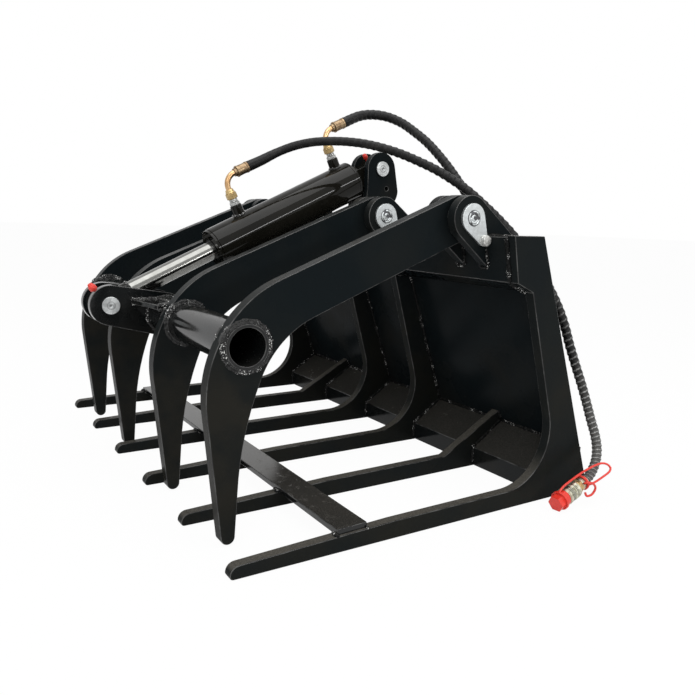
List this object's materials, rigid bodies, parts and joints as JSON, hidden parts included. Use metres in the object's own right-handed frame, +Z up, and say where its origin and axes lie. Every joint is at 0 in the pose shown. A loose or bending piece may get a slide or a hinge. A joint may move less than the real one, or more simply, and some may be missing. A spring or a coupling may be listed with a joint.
{
  "type": "loader grapple",
  "caption": "Hydraulic grapple for a compact loader: flat lower tines, a curved upper jaw moved by one cylinder, hoses and couplers.",
  "frame": {"origin": "on the ground, under the middle of the grapple's outline without its hoses", "axes": "-Y is the front, where the tine tips point; +X is the right as seen from the front; +Z is up"},
  "size_m": [1.1416, 0.9508, 0.7694],
  "materials": {
    "black_paint": "gloss",
    "cylinder_paint": "gloss",
    "zinc": "satin zinc plate",
    "bright_pin": "turned",
    "spring_steel": "dark satin",
    "wiper_rubber": "matt",
    "yellow_zinc": "yellow zinc plate",
    "copper_tube": "yellow zinc plate",
    "chrome_rod": "polished",
    "red_plastic": "gloss",
    "hose_rubber": "matt"
  },
  "bodies": {
    "frame": {"side_tine_left": "black_paint", "side_tine_right": "black_paint", "rib_tine_left": "black_paint", "rib_tine_right": "black_paint", "short_tine_left": "black_paint", "short_tine_right": "black_paint", "front_strip": "black_paint", "deck_plates": "black_paint", "back_plate": "black_paint", "top_member": "black_paint", "arm_lugs_1": "black_paint", "arm_lugs_2": "black_paint", "arm_lugs_3": "black_paint", "arm_lugs_4": "black_paint", "cylinder_lugs": "black_paint", "hook_lip": "black_paint", "lock_ledge": "black_paint", "arm_pin_1": "zinc", "arm_pin_2": "zinc", "arm_pin_3": "zinc", "arm_pin_4": "zinc", "keeper_bolts": "zinc", "base_pin": "bright_pin", "base_pin_ring": "spring_steel", "hose_1": "hose_rubber", "hose_2": "hose_rubber", "hose_crimps": "yellow_zinc", "coupler_1_body": "zinc", "coupler_1_cap": "red_plastic", "coupler_1_strap": "red_plastic", "coupler_2_body": "zinc", "coupler_2_cap": "red_plastic", "coupler_2_strap": "red_plastic"},
    "jaw": {"arm_1": "black_paint", "arm_2": "black_paint", "arm_3": "black_paint", "arm_4": "black_paint", "arm_hubs": "black_paint", "cross_tube": "black_paint", "clevis_plates": "black_paint", "gusset_plates": "black_paint", "rod_pin": "bright_pin", "rod_pin_ring": "spring_steel"},
    "barrel": {"barrel_tube": "cylinder_paint", "base_cap": "cylinder_paint", "base_eye": "cylinder_paint", "gland": "cylinder_paint", "wiper_ring": "wiper_rubber", "port_bosses": "cylinder_paint", "port_adapters": "zinc", "swivel_nuts": "yellow_zinc", "bent_tubes": "copper_tube", "ferrules": "yellow_zinc", "base_grease_cap": "red_plastic"},
    "rod": {"rod": "chrome_rod", "piston": "spring_steel", "rod_eye": "cylinder_paint", "rod_grease_cap": "red_plastic"},
    "sleeve": {"coupler_1_sleeve": "zinc"}
  },
  "joints": [
    {"name": "jaw_hinge", "type": "hinge", "parent": "frame", "child": "jaw", "pos_m": [0, 0.12523, 0.531], "axis": [-1, 0, 0], "range_deg": [0, 60]},
    {"name": "cylinder_tilt", "type": "hinge", "parent": "frame", "child": "barrel", "pos_m": [0, 0.22123, 0.639], "axis": [-1, 0, 0], "range_deg": [0, 51], "deforming": ["hose_1", "hose_2"]},
    {"name": "rod_slide", "type": "slide", "parent": "barrel", "child": "rod", "axis": [0, 0.9047, 0.4262], "range_m": [0, 0.102]},
    {"name": "sleeve_slide", "type": "slide", "parent": "frame", "child": "sleeve", "axis": [-0.1171, 0.9541, 0.2756], "range_m": [0, 0.005], "stiffness_N_per_m": 400, "springref_m": -0.01}
  ],
  "couplings": [
    {"joint": "cylinder_tilt", "follows": "jaw_hinge", "ratio": 0.8448},
    {"joint": "rod_slide", "follows": "jaw_hinge", "m_per_rad": 0.09704}
  ]
}
